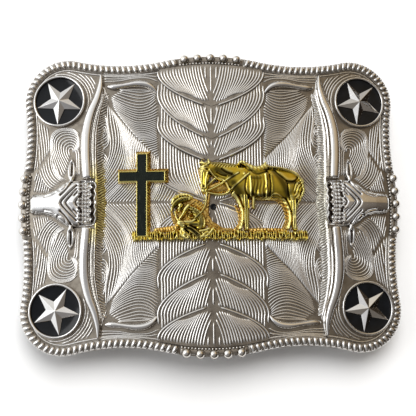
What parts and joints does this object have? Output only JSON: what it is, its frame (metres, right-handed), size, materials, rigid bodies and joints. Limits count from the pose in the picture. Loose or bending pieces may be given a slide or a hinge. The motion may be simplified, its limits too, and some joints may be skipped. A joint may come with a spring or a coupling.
{
  "type": "western belt buckle",
  "caption": "Large scalloped western trophy buckle: longhorn heads, star medallions, feathered engraving and a raised gold cross, horse and kneeling rider.",
  "frame": {"origin": "below the middle of the face, on the surface that the buckle lies on", "axes": "+X across the buckle to the viewer's right, +Y to its top edge, +Z out of its face; it lies on its back on the loop and the post"},
  "size_m": [0.1282, 0.1014, 0.0179],
  "materials": {
    "nickel_plate": "bright nickel plating over a zinc casting, darker in the engraving",
    "gold_plate": "polished gold plating",
    "black_enamel": "glossy black enamel fill",
    "dark_enamel": "glossy very dark green enamel fill"
  },
  "bodies": {
    "root": {"plate": "nickel_plate", "rope_top_left": "nickel_plate", "rope_top_right": "nickel_plate", "rope_bottom_left": "nickel_plate", "rope_bottom_right": "nickel_plate", "bezel_top_left": "nickel_plate", "bezel_top_right": "nickel_plate", "bezel_bottom_left": "nickel_plate", "bezel_bottom_right": "nickel_plate", "star_top_left": "nickel_plate", "star_top_right": "nickel_plate", "star_bottom_left": "nickel_plate", "star_bottom_right": "nickel_plate", "horn_top_left": "nickel_plate", "horn_top_right": "nickel_plate", "horn_bottom_left": "nickel_plate", "horn_bottom_right": "nickel_plate", "scroll_top_left": "nickel_plate", "scroll_top_right": "nickel_plate", "scroll_bottom_left": "nickel_plate", "scroll_bottom_right": "nickel_plate", "enamel_top_left": "black_enamel", "enamel_top_right": "black_enamel", "enamel_bottom_left": "black_enamel", "enamel_bottom_right": "black_enamel", "beads_left": "nickel_plate", "beads_right": "nickel_plate", "skull_left": "nickel_plate", "skull_right": "nickel_plate", "slope_left": "nickel_plate", "slope_right": "nickel_plate", "beads_top": "nickel_plate", "beads_bottom": "nickel_plate", "upper_tier_1": "nickel_plate", "upper_tier_2": "nickel_plate", "upper_tier_3": "nickel_plate", "lower_tier_1": "nickel_plate", "lower_tier_2": "nickel_plate", "lower_tier_3": "nickel_plate", "cross_frame": "gold_plate", "cross_enamel": "dark_enamel", "ground_strip": "gold_plate", "horse": "gold_plate", "rider": "gold_plate", "belt_loop": "nickel_plate", "hook_post": "nickel_plate"}
  },
  "joints": []
}
